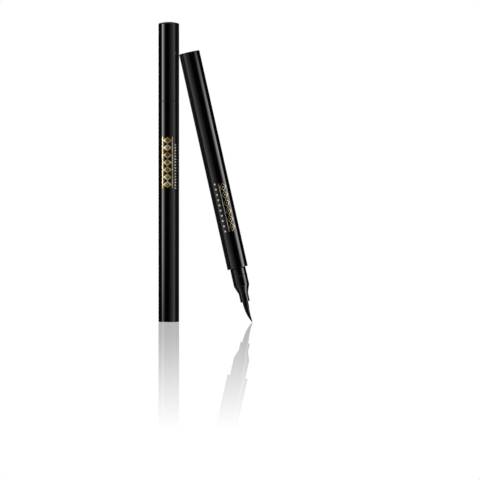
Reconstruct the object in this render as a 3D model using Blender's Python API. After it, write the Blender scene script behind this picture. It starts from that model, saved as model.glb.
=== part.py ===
# Liquid eyeliner pens: one closed, standing on its tail, and one open, leaning beside it on its tip.
# Metres, +Z up. The origin is the centre of the closed pen's foot, and -Y is the side that faces the viewer.
# Each pen is drawn in its own frame: its axis is +Z, with the tail end at zero and the tip at the top.
import math

import bmesh
import bpy
from mathutils import Matrix, Vector

MM = 0.001

# Fits between pieces
FIT_GAP = 0.1 * MM  # radial gap of pressed pieces
SEAT_GAP = 0.2 * MM  # gap along the axis where a piece seats on another
WELD = 0.001 * MM

# Barrel and tail plug
PEN_DIAMETER = 9.7 * MM
BARREL_LENGTH = 103.3 * MM  # foot to shoulder
BARREL_WALL = 0.9 * MM
TANK_STEP = 0.5 * MM  # the wall is this much thicker along the tank
SHOULDER_EDGE = 0.35 * MM
FOOT_EDGE = 0.3 * MM
PLUG_FLANGE = 1.0 * MM
PLUG_FLOOR = 1.4 * MM
PLUG_SHANK = 6.0 * MM
PLUG_WALL = 0.8 * MM
PLUG_RIB_HEIGHT = 0.15 * MM
PLUG_RIB_WIDTH = 0.7 * MM
PLUG_RIBS = 2

# Front section, with the neck that the cap seats on
SHANK_LENGTH = 9.0 * MM
NECK_CLEARANCE = 0.3 * MM  # neck to the bore of the cap
NECK_LENGTH = 8.4 * MM
CONE_LENGTH = 3.8 * MM
CONE_EDGE = 0.5 * MM
CONE_SETBACK = 0.4 * MM  # inner cone behind the outer one
NOZZLE_LENGTH = 4.0 * MM
NOZZLE_WALL = 0.65 * MM
NOZZLE_EDGE = 0.3 * MM
BEAD_HEIGHT = 0.1 * MM
BEAD_WIDTH = 0.8 * MM
BEAD_OFFSET = 3.7 * MM  # shoulder to the snap bead
SEAL_GAP = 0.05 * MM
SEAL_THICKNESS = 0.6 * MM
SEAL_OFFSET = 2.4 * MM  # rear of the section to the seal
GROOVE_MARGIN = 0.3 * MM

# Fibre tip, its holder and the ink feed
NIB_DIAMETER = 2.66 * MM
NIB_CLEARANCE = 0.22 * MM  # nib to the nozzle
NIB_EXPOSED = 10.0 * MM
NIB_STRAIGHT = 1.5 * MM
NIB_BEND_START = 3.0 * MM
NIB_BEND = 1.17 * MM
NIB_POINT = 0.06 * MM
TAPER_POWER = 0.62
HOLDER_LENGTH = 7.0 * MM
HOLDER_WALL_SHARE = 0.35  # of the material between the tip and the neck's surface; the neck has the rest
NIB_INSET = 0.6 * MM
SOCKET_DEPTH = 3.0 * MM
RELAY_DIAMETER = 1.6 * MM
RELAY_CLEARANCE = 0.15 * MM
RELAY_INSET = 0.3 * MM

# Finned collector between the tank and the section
FIN_COUNT = 11
FIN_THICKNESS = 0.55 * MM
FIN_GAP = 0.95 * MM
FIN_CLEARANCE = 0.3 * MM
CORE_WALL = 0.8 * MM
COLLECTOR_FLANGE = 1.2 * MM
SLIT_WIDTH = 0.4 * MM

# Cap and the inner cap that seals on the cone
CAP_WALL = 0.9 * MM
CAP_HEADROOM = 5.0 * MM  # tip to the end of the inner cap
CAP_STEP = 0.8 * MM  # the wall is this much thicker past the inner cap
CAP_CHAMBER = 3.0 * MM  # length of that thicker stretch's bore
CAP_END = 1.2 * MM  # thickness of the cap's end at its edge
CAP_RISE = 0.75 * MM  # dome over the end
CAP_EDGE = 0.5 * MM
CAP_MOUTH_EDGE = 0.2 * MM
CAP_BEAD_LEAD = 1.1 * MM  # cap's bead below the neck's bead
BEAD_CLEARANCE = 0.08 * MM
INNER_CAP_WALL = 0.5 * MM
INNER_CAP_END = 0.8 * MM
INNER_CAP_RIBS = 6
RIB_HEIGHT = 0.25 * MM
RIB_WIDTH = 0.6 * MM
RIB_MARGIN = 1.0 * MM

# Mixing ball
BALL_CLEARANCE = 0.4 * MM  # to the wall of the plug's cup
BALL_GAP = 0.15 * MM  # to the tank's wall that it lies on

# How the open pen leans against the closed one
LEAN_ANGLE = math.radians(12.67)
LEAN_CLEARANCE = 0.3 * MM

# Facets round a turned piece, along a fillet and along a dome
BODY_SEGMENTS = 32
INNER_SEGMENTS = 24
COMB_SEGMENTS = 20
ROD_SEGMENTS = 16
SEAL_SIDES = 8
FILLET_STEPS = 2
BALL_SUBDIVISIONS = 3
DOME_STEPS = 5
NIB_STEPS = 10
SHARP_ANGLE = math.radians(35)
FILLET_LIMIT_SHARE = 0.45  # the most of an edge that a fillet takes

PEN_PIECES = ("barrel", "tail_plug", "front_section", "section_seal", "tip_holder", "nib", "relay_rod")

# Radii, worked out from the outside in
pen_radius = PEN_DIAMETER / 2
front_bore = pen_radius - BARREL_WALL
tank_bore = front_bore - TANK_STEP
cap_bore = pen_radius - CAP_WALL
shank_radius = front_bore - FIT_GAP
neck_radius = cap_bore - NECK_CLEARANCE
bead_radius = neck_radius + BEAD_HEIGHT
nib_radius = NIB_DIAMETER / 2
nozzle_bore = nib_radius + NIB_CLEARANCE
nozzle_radius = nozzle_bore + NOZZLE_WALL
relay_radius = RELAY_DIAMETER / 2
relay_bore = relay_radius + RELAY_CLEARANCE
collector_core = relay_bore + CORE_WALL
holder_wall = HOLDER_WALL_SHARE * (neck_radius - nib_radius - 2 * FIT_GAP)
holder_radius = nib_radius + FIT_GAP + holder_wall
section_bore = holder_radius + FIT_GAP
plug_shank = tank_bore - FIT_GAP - PLUG_RIB_HEIGHT
plug_bore = plug_shank - PLUG_WALL
ball_radius = plug_bore - BALL_CLEARANCE
inner_cap_radius = cap_bore - FIT_GAP - RIB_HEIGHT
inner_cap_bore = inner_cap_radius - INNER_CAP_WALL
chamber_bore = cap_bore - CAP_STEP

# Heights along a pen, from its tail end
shoulder_z = BARREL_LENGTH
plug_seat_z = PLUG_FLANGE + SEAT_GAP
section_rear_z = shoulder_z - SHANK_LENGTH
cone_z = shoulder_z + NECK_LENGTH
nozzle_z = cone_z + CONE_LENGTH
mouth_z = nozzle_z + NOZZLE_LENGTH
tip_z = mouth_z + NIB_EXPOSED
inner_cone_z = cone_z - CONE_SETBACK
inner_nozzle_z = nozzle_z - CONE_SETBACK
holder_front_z = inner_cone_z - SEAT_GAP
holder_rear_z = holder_front_z - HOLDER_LENGTH
nib_rear_z = holder_rear_z + NIB_INSET
socket_z = nib_rear_z + SOCKET_DEPTH
spigot_end_z = holder_rear_z - SEAT_GAP
collector_front_z = section_rear_z - SEAT_GAP
comb_length = FIN_COUNT * (FIN_THICKNESS + FIN_GAP)
collector_rear_z = collector_front_z - comb_length - COLLECTOR_FLANGE
tank_step_z = collector_rear_z - SEAT_GAP
plug_end_z = plug_seat_z + PLUG_SHANK
cap_mouth_z = shoulder_z + SEAT_GAP
inner_cap_floor_z = tip_z + CAP_HEADROOM
inner_cap_top_z = inner_cap_floor_z + INNER_CAP_END
cap_step_z = inner_cap_top_z + SEAT_GAP
cap_floor_z = cap_step_z + CAP_CHAMBER
cap_edge_z = cap_floor_z + CAP_END
cone_slope = (neck_radius - nozzle_radius) / CONE_LENGTH
inner_cap_mouth_z = cone_z + (neck_radius - inner_cap_bore + FIT_GAP) / cone_slope


def clear_scene():
    for obj in list(bpy.data.objects):
        bpy.data.objects.remove(obj)


def make_material(name, colour, roughness, metallic=0.0):
    material = bpy.data.materials.new(name)
    material.use_nodes = True
    shader = material.node_tree.nodes["Principled BSDF"]
    shader.inputs["Base Color"].default_value = (*colour, 1.0)
    shader.inputs["Roughness"].default_value = roughness
    shader.inputs["Metallic"].default_value = metallic
    return material


# An outline is a list of (radius, height) points. A corner also has the radius of its fillet.
def rounded(corners):
    points = []
    for i, (radius, height, fillet) in enumerate(corners):
        here = Vector((radius, height))
        if fillet == 0:
            points.append(here)
            continue
        back = Vector(corners[i - 1][:2]) - here
        ahead = Vector(corners[(i + 1) % len(corners)][:2]) - here
        half = back.angle(ahead) / 2
        most = FILLET_LIMIT_SHARE * min(back.length, ahead.length)
        reach = min(fillet / math.tan(half), most)
        back.normalize()
        ahead.normalize()
        centre = here + (back + ahead).normalized() * (reach / math.cos(half))
        start = here + back * reach - centre
        end = here + ahead * reach - centre
        for step in range(FILLET_STEPS + 1):
            spoke = start.normalized().slerp(end.normalized(), step / FILLET_STEPS)
            points.append(centre + spoke * start.length)
    return points


# Points of a shallow dome, from its top on the axis to just before its edge
def dome(radius, edge_z, rise):
    sphere = (radius**2 + rise**2) / (2 * rise)
    points = []
    for step in range(DOME_STEPS):
        r = radius * step / DOME_STEPS
        points.append((r, edge_z + rise - sphere + math.sqrt(sphere**2 - r**2), 0))
    return points


# A low ring on a wall: it stands by height off radius, outwards if height is positive
def ring(radius, height, width, z):
    return [
        (radius, z - width / 2, 0),
        (radius + height, z - width / 4, 0),
        (radius + height, z + width / 4, 0),
        (radius, z + width / 2, 0),
    ]


# Turns an outline round the axis. An outline that starts on the axis also ends there.
def lathe(name, corners, segments=BODY_SEGMENTS):
    shape = bmesh.new()
    outline = [shape.verts.new((p.x, 0, p.y)) for p in rounded(corners)]
    joined = outline if outline[0].co.x == 0 else outline + outline[:1]
    edges = [shape.edges.new(pair) for pair in zip(joined, joined[1:])]
    bmesh.ops.spin(
        shape,
        geom=outline + edges,
        axis=(0, 0, 1),
        angle=math.tau,
        steps=segments,
        use_merge=True,
    )
    bmesh.ops.remove_doubles(shape, verts=shape.verts, dist=WELD)
    bmesh.ops.recalc_face_normals(shape, faces=shape.faces)
    return finish_mesh(name, shape)


def finish_mesh(name, shape):
    mesh = bpy.data.meshes.new(name)
    shape.to_mesh(mesh)
    shape.free()
    mesh.shade_smooth()
    mesh.set_sharp_from_angle(angle=SHARP_ANGLE)
    return mesh


# Tube with a wider bore at the front, for the collector and the section, and at the tail for the plug
def barrel_mesh():
    return lathe(
        "barrel",
        [
            (front_bore, 0, 0),
            (pen_radius, 0, FOOT_EDGE),
            (pen_radius, shoulder_z, SHOULDER_EDGE),
            (front_bore, shoulder_z, 0),
            (front_bore, tank_step_z, 0),
            (tank_bore, tank_step_z, 0),
            (tank_bore, plug_seat_z, 0),
            (front_bore, plug_seat_z, 0),
        ],
    )


# Cup-shaped plug: its ribs grip the tank's wall, and its flange lies flush in the pen's flat foot
def plug_mesh():
    flange = front_bore - FIT_GAP
    rib_pitch = PLUG_SHANK / (PLUG_RIBS + 1)
    ribs = []
    for i in range(PLUG_RIBS):
        ribs += ring(plug_shank, PLUG_RIB_HEIGHT, PLUG_RIB_WIDTH, plug_seat_z + rib_pitch * (i + 1))
    return lathe(
        "tail_plug",
        [
            (0, 0, 0),
            (flange, 0, 0),
            (flange, PLUG_FLANGE, 0),
            (plug_shank, PLUG_FLANGE, 0),
            *ribs,
            (plug_shank, plug_end_z, 0),
            (plug_bore, plug_end_z, 0),
            (plug_bore, PLUG_FLOOR, 0),
            (0, PLUG_FLOOR, 0),
        ],
        INNER_SEGMENTS,
    )


# Shank pressed into the barrel, neck with its snap bead, cone and nozzle
def section_mesh():
    groove = front_bore - SEAL_THICKNESS - 2 * SEAL_GAP
    groove_middle_z = section_rear_z + SEAL_OFFSET
    groove_half = SEAL_THICKNESS / 2 + GROOVE_MARGIN
    return lathe(
        "front_section",
        [
            (section_bore, section_rear_z, 0),
            (shank_radius, section_rear_z, 0),
            (shank_radius, groove_middle_z - groove_half, 0),
            (groove, groove_middle_z - groove_half, 0),
            (groove, groove_middle_z + groove_half, 0),
            (shank_radius, groove_middle_z + groove_half, 0),
            (shank_radius, shoulder_z, 0),
            (neck_radius, shoulder_z, 0),
            *ring(neck_radius, BEAD_HEIGHT, BEAD_WIDTH, shoulder_z + BEAD_OFFSET),
            (neck_radius, cone_z, CONE_EDGE),
            (nozzle_radius, nozzle_z, CONE_EDGE),
            (nozzle_radius, mouth_z, NOZZLE_EDGE),
            (nozzle_bore, mouth_z, 0),
            (nozzle_bore, inner_nozzle_z, 0),
            (section_bore, inner_cone_z, 0),
        ],
    )


# Elastomer ring in the section's groove
def seal_mesh():
    radius = SEAL_THICKNESS / 2
    middle = front_bore - SEAL_GAP - radius
    middle_z = section_rear_z + SEAL_OFFSET
    corners = []
    for i in range(SEAL_SIDES):
        angle = math.tau * i / SEAL_SIDES
        corners.append((middle + radius * math.cos(angle), middle_z + radius * math.sin(angle), 0))
    return lathe("section_seal", corners, INNER_SEGMENTS)


# Sleeve inside the neck that grips the tip's root
def holder_mesh():
    bore = nib_radius + FIT_GAP
    nose = (holder_radius + bore) / 2
    return lathe(
        "tip_holder",
        [
            (bore, holder_rear_z, 0),
            (holder_radius, holder_rear_z, 0),
            (holder_radius, holder_front_z, 0),
            (nose, holder_front_z, 0),
            (nose, inner_cone_z, 0),
            (bore, inner_cone_z, 0),
        ],
        INNER_SEGMENTS,
    )


# Share of the root's radius that is left at a distance along the exposed tip
def taper(exposed):
    along = max(0, exposed - NIB_STRAIGHT) / (NIB_EXPOSED - NIB_STRAIGHT)
    return (1 - along) ** TAPER_POWER


# Sideways place at that distance, for a tip that is pushed aside by offset at its point
def bend(exposed, offset):
    return offset * (max(0, exposed - NIB_BEND_START) / (NIB_EXPOSED - NIB_BEND_START)) ** 2


# Fibre tip: a straight root with a socket for the relay rod, and a taper that can bend to one side
def nib_mesh(name, offset):
    socket = relay_radius + RELAY_CLEARANCE
    corners = [
        (0, socket_z, 0),
        (socket, socket_z, 0),
        (socket, nib_rear_z, 0),
        (nib_radius, nib_rear_z, 0),
        (nib_radius, mouth_z, 0),
    ]
    for step in range(NIB_STEPS):
        exposed = NIB_STRAIGHT + (NIB_EXPOSED - NIB_STRAIGHT) * step / NIB_STEPS
        corners.append((nib_radius * taper(exposed), mouth_z + exposed, 0))
    corners.append((NIB_POINT, tip_z - NIB_POINT, 0))
    corners.append((0, tip_z, 0))
    mesh = lathe(name, corners, ROD_SEGMENTS)
    for vertex in mesh.vertices:
        vertex.co.x += bend(vertex.co.z - mouth_z, offset)
    return mesh


# Porous rod that carries ink from the tank to the tip
def relay_mesh():
    return lathe(
        "relay_rod",
        [
            (0, collector_rear_z + RELAY_INSET, 0),
            (relay_radius, collector_rear_z + RELAY_INSET, 0),
            (relay_radius, socket_z - SEAT_GAP, 0),
            (0, socket_z - SEAT_GAP, 0),
        ],
        ROD_SEGMENTS,
    )


# Comb of thin fins on a bored core, with a flange on the tank's step and a spigot in the section
def collector_mesh():
    fin_radius = front_bore - FIN_CLEARANCE
    flange_radius = front_bore - FIT_GAP
    spigot_radius = section_bore - FIT_GAP
    comb_z = collector_rear_z + COLLECTOR_FLANGE
    fins = []
    for i in range(FIN_COUNT):
        fin_z = comb_z + FIN_GAP + i * (FIN_THICKNESS + FIN_GAP)
        fins += [
            (collector_core, fin_z, 0),
            (fin_radius, fin_z, 0),
            (fin_radius, fin_z + FIN_THICKNESS, 0),
            (collector_core, fin_z + FIN_THICKNESS, 0),
        ]
    fins[-1] = (spigot_radius, collector_front_z, 0)
    return lathe(
        "collector",
        [
            (relay_bore, collector_rear_z, 0),
            (flange_radius, collector_rear_z, 0),
            (flange_radius, comb_z, 0),
            (collector_core, comb_z, 0),
            *fins,
            (spigot_radius, spigot_end_z, 0),
            (relay_bore, spigot_end_z, 0),
        ],
        COMB_SEGMENTS,
    )


# Box that opens a slit from the collector's rim to its bore, through every fin
def slit_mesh():
    reach = front_bore
    length = comb_length - FIN_THICKNESS
    shape = bmesh.new()
    size = Matrix.Diagonal((reach, SLIT_WIDTH, length, 1))
    place = Matrix.Translation((reach / 2, 0, collector_rear_z + COLLECTOR_FLANGE + length / 2))
    bmesh.ops.create_cube(shape, size=1, matrix=place @ size)
    return finish_mesh("slit_cutter", shape)


# Domed shell with a snap bead near its mouth, and a step in its bore that the inner cap seats on
def cap_mesh():
    inner_bead = bead_radius + BEAD_CLEARANCE - cap_bore
    bead_z = shoulder_z + BEAD_OFFSET - CAP_BEAD_LEAD
    bead = ring(cap_bore, inner_bead, BEAD_WIDTH, bead_z)
    return lathe(
        "cap_shell",
        [
            *dome(pen_radius, cap_edge_z, CAP_RISE),
            (pen_radius, cap_edge_z, CAP_EDGE),
            (pen_radius, cap_mouth_z, CAP_MOUTH_EDGE),
            (cap_bore, cap_mouth_z, 0),
            *bead,
            (cap_bore, cap_step_z, 0),
            (chamber_bore, cap_step_z, 0),
            (chamber_bore, cap_floor_z, 0),
            (0, cap_floor_z, 0),
        ],
    )


# Cup that closes over the tip and seals on the cone
def inner_cap_mesh():
    return lathe(
        "inner_cap",
        [
            (0, inner_cap_top_z, 0),
            (inner_cap_radius, inner_cap_top_z, 0),
            (inner_cap_radius, inner_cap_mouth_z, 0),
            (inner_cap_bore, inner_cap_mouth_z, 0),
            (inner_cap_bore, inner_cap_floor_z, 0),
            (0, inner_cap_floor_z, 0),
        ],
        INNER_SEGMENTS,
    )


# Ribs that grip the cap's bore, set half way into the inner cap's wall
def rib_mesh():
    shape = bmesh.new()
    bottom_z = inner_cap_mouth_z + RIB_MARGIN
    top_z = inner_cap_top_z - RIB_MARGIN
    inside = inner_cap_radius - INNER_CAP_WALL / 2
    outside = inner_cap_radius + RIB_HEIGHT
    size = Matrix.Diagonal((outside - inside, RIB_WIDTH, top_z - bottom_z, 1))
    place = Matrix.Translation(((outside + inside) / 2, 0, (top_z + bottom_z) / 2))
    for i in range(INNER_CAP_RIBS):
        turn = Matrix.Rotation(math.tau * i / INNER_CAP_RIBS, 4, "Z")
        bmesh.ops.create_cube(shape, size=1, matrix=turn @ place @ size)
    return finish_mesh("inner_cap_ribs", shape)


def ball_mesh():
    shape = bmesh.new()
    bmesh.ops.create_icosphere(shape, subdivisions=BALL_SUBDIVISIONS, radius=ball_radius)
    return finish_mesh("mixing_ball", shape)


def add_object(name, mesh, frame, material, location=(0, 0, 0)):
    obj = bpy.data.objects.new(name, mesh)
    obj.parent = frame
    obj.location = location
    bpy.context.scene.collection.objects.link(obj)
    if material:
        obj.data.materials.clear()
        obj.data.materials.append(material)
    return obj


def add_boolean(obj, name, mesh, frame, operation):
    tool = add_object(name, mesh, frame, None)
    tool.hide_render = True
    tool.display_type = "WIRE"
    modifier = obj.modifiers.new(name, "BOOLEAN")
    modifier.object = tool
    modifier.operation = operation


def add_frame(name, matrix):
    frame = bpy.data.objects.new(name, None)
    frame.matrix_world = matrix
    bpy.context.scene.collection.objects.link(frame)
    return frame


# Tip down and tail against the closed pen. Seen from the front the two outlines just touch, and the
# open pen stands forward of the closed one by as much as their clearance needs.
def leaning_frame():
    forward = math.sqrt((PEN_DIAMETER + LEAN_CLEARANCE) ** 2 - PEN_DIAMETER**2)
    tail_x = pen_radius + pen_radius * math.cos(LEAN_ANGLE)
    tail_z = tip_z * math.cos(LEAN_ANGLE) - NIB_BEND * math.sin(LEAN_ANGLE)
    tilt = Matrix.Rotation(math.pi - LEAN_ANGLE, 4, "Y")
    bend_side = Matrix.Rotation(math.pi, 4, "Z")
    return Matrix.Translation((tail_x, -forward, tail_z)) @ tilt @ bend_side


def build_pen(prefix, frame, meshes, materials, ball_place):
    for piece in PEN_PIECES:
        mesh = meshes.get(prefix + piece) or meshes[piece]
        add_object(prefix + piece, mesh, frame, materials[piece])
    collector = add_object(prefix + "collector", meshes["collector"], frame, materials["collector"])
    add_boolean(collector, prefix + "slit_cutter", meshes["slit_cutter"], frame, "DIFFERENCE")
    add_object(prefix + "mixing_ball", meshes["mixing_ball"], frame, materials["mixing_ball"], ball_place)


def build_cap(frame, meshes, materials):
    add_object("cap_shell", meshes["cap_shell"], frame, materials["cap_shell"])
    inner = add_object("inner_cap", meshes["inner_cap"], frame, materials["inner_cap"])
    add_boolean(inner, "inner_cap_rib_set", meshes["inner_cap_ribs"], frame, "UNION")


def main():
    clear_scene()
    gloss_black = make_material("gloss_black_abs", (0.010, 0.010, 0.012), 0.16)
    satin_black = make_material("black_polypropylene", (0.012, 0.012, 0.014), 0.24)
    natural = make_material("natural_polypropylene", (0.78, 0.78, 0.74), 0.45)
    fibre = make_material("inked_polyester_fibre", (0.008, 0.008, 0.010), 0.70)
    wick = make_material("polyester_wick", (0.20, 0.20, 0.21), 0.85)
    rubber = make_material("black_silicone", (0.03, 0.03, 0.03), 0.60)
    steel = make_material("stainless_steel", (0.60, 0.60, 0.61), 0.18, 1.0)
    materials = {
        "barrel": gloss_black,
        "tail_plug": gloss_black,
        "front_section": satin_black,
        "section_seal": rubber,
        "tip_holder": natural,
        "nib": fibre,
        "relay_rod": wick,
        "collector": natural,
        "mixing_ball": steel,
        "cap_shell": gloss_black,
        "inner_cap": natural,
    }
    made = (
        barrel_mesh(),
        plug_mesh(),
        section_mesh(),
        seal_mesh(),
        holder_mesh(),
        nib_mesh("capped_nib", 0),
        nib_mesh("open_nib", NIB_BEND),
        relay_mesh(),
        collector_mesh(),
        slit_mesh(),
        ball_mesh(),
        cap_mesh(),
        inner_cap_mesh(),
        rib_mesh(),
    )
    meshes = {mesh.name: mesh for mesh in made}
    closed = add_frame("capped_pen_frame", Matrix.Identity(4))
    leaning = add_frame("open_pen_frame", leaning_frame())
    # The balls have sunk: onto the plug in the closed pen, and onto the collector in the open one
    ball_low = Vector((0, 0, PLUG_FLOOR + SEAT_GAP + ball_radius))
    ball_side = -(tank_bore - ball_radius - BALL_GAP)
    ball_front = Vector((ball_side, 0, collector_rear_z - SEAT_GAP - ball_radius))
    build_pen("capped_", closed, meshes, materials, ball_low)
    build_pen("open_", leaning, meshes, materials, ball_front)
    build_cap(closed, meshes, materials)


main()
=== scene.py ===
# Two liquid eyeliner pens, one closed and one open: their finish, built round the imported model.
# Metres, +Z up. The closed pen stands on the origin, and -Y is the side that faces the viewer.
import math
import random

import bmesh
import bpy
from mathutils import Matrix, Vector


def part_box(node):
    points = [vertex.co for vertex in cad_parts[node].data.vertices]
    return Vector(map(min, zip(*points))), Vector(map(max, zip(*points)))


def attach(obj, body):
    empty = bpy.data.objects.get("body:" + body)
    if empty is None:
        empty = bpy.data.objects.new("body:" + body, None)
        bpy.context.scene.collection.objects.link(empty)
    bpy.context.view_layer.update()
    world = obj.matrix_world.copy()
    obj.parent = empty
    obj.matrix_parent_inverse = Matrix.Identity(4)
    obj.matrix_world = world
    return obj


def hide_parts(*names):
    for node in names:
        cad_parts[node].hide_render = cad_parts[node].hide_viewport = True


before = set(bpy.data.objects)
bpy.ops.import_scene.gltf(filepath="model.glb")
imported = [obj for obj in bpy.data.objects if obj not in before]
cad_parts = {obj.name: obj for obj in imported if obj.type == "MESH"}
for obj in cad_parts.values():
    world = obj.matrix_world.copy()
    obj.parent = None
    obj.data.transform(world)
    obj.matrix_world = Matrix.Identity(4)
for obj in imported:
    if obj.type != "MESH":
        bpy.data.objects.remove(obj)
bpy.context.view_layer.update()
print("frame loaded with", len(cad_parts), "CAD nodes")

mm = 0.001
# Steps round a rounded edge, the steepest fold that is shaded smooth, how far inside a wall's ends the rings
# stand that keep it flat, and the gap under which two points are one
shaping = {"edgeSteps": 5, "smoothAngle": math.radians(38), "hold": 0.25 * mm, "touch": 0.001 * mm}


# Lowest and highest point and outer radius of a node of the closed pen, whose axis is the Z axis
def reach(node):
    low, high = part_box(node)
    return low.z, high.z, high.x


_, shoulder, penRadius = reach("capped_barrel")
_, plugEnd, plugFlange = reach("capped_tail_plug")
sectionRear, nozzleMouth, _ = reach("capped_front_section")
sealRear, sealFront, sealRadius = reach("capped_section_seal")
holderRear, holderFront, holderRadius = reach("capped_tip_holder")
nibRear, nibPoint, nibRadius = reach("capped_nib")
relayRear, relayFront, relayRadius = reach("capped_relay_rod")
collectorRear, collectorFront, collectorRadius = reach("capped_collector")
ballLow, ballHigh, ballRadius = reach("capped_mixing_ball")
_, capTop, _ = reach("cap_shell")
innerCapMouth, innerCapTop, _ = reach("inner_cap")


# Turned pieces. An outline is a list of corners (radius, height, edge rounding or nothing), along the wall
# from one end round to the other. It starts and ends on the axis, or else it closes on its first corner.
def turn(name, corners, sides):
    bpy.ops.object.select_all(action="DESELECT")
    startsOnAxis = corners[0][0] == 0
    path = corners[1:] if startsOnAxis else corners + corners[:1]
    radius, height = path[0][:2]
    fill = "TRIFAN" if startsOnAxis else "NOTHING"
    bpy.ops.mesh.primitive_circle_add(vertices=sides, radius=radius, location=(0, 0, height), fill_type=fill)
    piece = bpy.context.object
    piece.name = piece.data.name = name
    bpy.ops.object.transform_apply()
    bpy.ops.object.mode_set(mode="EDIT")
    bpy.ops.mesh.select_mode(type="EDGE")
    bpy.ops.mesh.select_all(action="SELECT")
    if startsOnAxis:
        bpy.ops.mesh.region_to_loop()
    for corner in path[1:]:
        rise = (0, 0, corner[1] - height)
        bpy.ops.mesh.extrude_edges_move(TRANSFORM_OT_translate={"value": rise})
        if corner[0] == 0:
            bpy.ops.mesh.merge(type="CENTER")
            break
        grow = corner[0] / radius
        radius, height = corner[:2]
        bpy.ops.transform.resize(value=(grow, grow, 1), center_override=(0, 0, height))
    bpy.ops.mesh.select_all(action="SELECT")
    bpy.ops.mesh.remove_doubles(threshold=shaping["touch"])
    for corner in corners:
        if len(corner) == 3:
            selectRing(piece, corner[0], corner[1])
            bpy.ops.mesh.bevel(offset=corner[2], segments=shaping["edgeSteps"], affect="EDGES")
    bpy.ops.mesh.select_all(action="SELECT")
    bpy.ops.mesh.normals_make_consistent(inside=False)
    bpy.ops.object.mode_set(mode="OBJECT")
    bpy.ops.object.shade_smooth_by_angle(angle=shaping["smoothAngle"])
    return piece


# Selects the edges of one ring of a turned piece
def selectRing(piece, radius, height):
    bpy.ops.mesh.select_all(action="DESELECT")
    shape = bmesh.from_edit_mesh(piece.data)
    for edge in shape.edges:
        offsets = [max(abs(point.co.xy.length - radius), abs(point.co.z - height)) for point in edge.verts]
        edge.select = max(offsets) < shaping["touch"]
    shape.select_flush_mode()
    bmesh.update_edit_mesh(piece.data)


# A straight wall's corners: its two ends, and a ring just inside each that keeps the shading flat between
def wall(radius, start, end, startEdge, endEdge):
    along, hold = math.copysign(1, end - start), shaping["hold"]
    return [
        (radius, start, startEdge),
        (radius, start + along * (startEdge + hold)),
        (radius, end - along * (endEdge + hold)),
        (radius, end, endEdge),
    ]


# Section of a bead, as shares of its height and of its width. The first and last points lie past its two
# feet, where they keep the wall beyond it flat.
beadSection = [(0, -0.62), (0, -0.5), (0.75, -0.33), (1, -0.12), (1, 0.12), (0.75, 0.33), (0, 0.5), (0, 0.62)]


# A low ring on a wall. It stands off the radius by its height, outwards if that is positive.
def bead(radius, height, width, middle):
    return [(radius + height * up, middle + width * along) for up, along in beadSection]


# Part of a circle in an outline: from one angle to another, in degrees, where 0 points away from the axis and
# 90 up
def arc(centre, radius, start, end, steps):
    corners = []
    for i in range(steps + 1):
        angle = math.radians(start + (end - start) * i / steps)
        corners.append((centre[0] + radius * math.cos(angle), centre[1] + radius * math.sin(angle)))
    return corners


# Adds a modifier and applies it at once
def applyModifier(piece, kind, **settings):
    modifier = piece.modifiers.new("shaping", kind)
    for setting, value in settings.items():
        setattr(modifier, setting, value)
    bpy.context.view_layer.objects.active = piece
    bpy.ops.object.modifier_apply(modifier=modifier.name)


barrel = {"sides": 128, "wall": 0.9 * mm, "tankWall": 1.4 * mm, "footEdge": 0.3 * mm,
          "shoulderEdge": 0.2 * mm, "innerEdge": 0.08 * mm, "plugSeat": 1.2 * mm,
          "collectorSeat": 0.2 * mm}
frontBore = penRadius - barrel["wall"]
tankBore = penRadius - barrel["tankWall"]


# Tube that is also the ink tank: the bore is wider at the front and, for the plug, at the tail
def makeBarrel():
    edge, tankStep = barrel["innerEdge"], collectorRear - barrel["collectorSeat"]
    return turn("closedBarrel", [
        (frontBore, 0, edge),
        *wall(penRadius, 0, shoulder, barrel["footEdge"], barrel["shoulderEdge"]),
        (frontBore, shoulder, edge),
        (frontBore, tankStep),
        (tankBore, tankStep, edge),
        (tankBore, barrel["plugSeat"], edge),
        (frontBore, barrel["plugSeat"]),
    ], barrel["sides"])


plug = {"sides": 96, "shank": 3.2 * mm, "wall": 0.8 * mm, "floor": 1.4 * mm, "flange": 1.0 * mm,
        "edge": 0.12 * mm, "ribHeight": 0.15 * mm, "ribWidth": 0.7 * mm, "ribs": (5.2 * mm, 3.2 * mm),
        "dimple": 1.2 * mm, "dimpleDepth": 0.12 * mm}


# Cup whose flange closes the pen's foot. The dimple is where the plastic entered the mould.
def makePlug():
    shank, bore = plug["shank"], plug["shank"] - plug["wall"]
    ribs = []
    for middle in plug["ribs"]:
        ribs += reversed(bead(shank, plug["ribHeight"], plug["ribWidth"], middle))
    return turn("closedTailPlug", [
        (0, plug["floor"]),
        (bore, plug["floor"]),
        (bore, plugEnd, plug["edge"]),
        (shank, plugEnd, plug["edge"]),
        *ribs,
        (shank, plug["flange"]),
        (plugFlange, plug["flange"], plug["edge"]),
        (plugFlange, 0, plug["edge"]),
        (plug["dimple"], 0),
        (plug["dimple"] - plug["dimpleDepth"], plug["dimpleDepth"]),
        (0, plug["dimpleDepth"]),
    ], plug["sides"])


section = {"sides": 128, "bore": 2.272 * mm, "shank": 3.85 * mm, "neck": 3.65 * mm, "nozzle": 2.2 * mm,
           "nozzleBore": 1.55 * mm, "neckLength": 8.4 * mm, "coneLength": 3.8 * mm, "setback": 0.4 * mm,
           "coneEdge": 0.25 * mm, "mouthEdge": 0.28 * mm, "smallEdge": 0.1 * mm, "hold": 0.6 * mm,
           "groove": 3.25 * mm, "grooveMiddle": 2.4 * mm, "grooveHalf": 0.6 * mm,
           "beadHeight": 0.1 * mm, "beadWidth": 0.8 * mm, "beadOffset": 3.7 * mm,
           "rootDepth": 0.2 * mm, "rootWidth": 0.3 * mm}
coneStart = shoulder + section["neckLength"]
coneEnd = coneStart + section["coneLength"]


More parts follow.
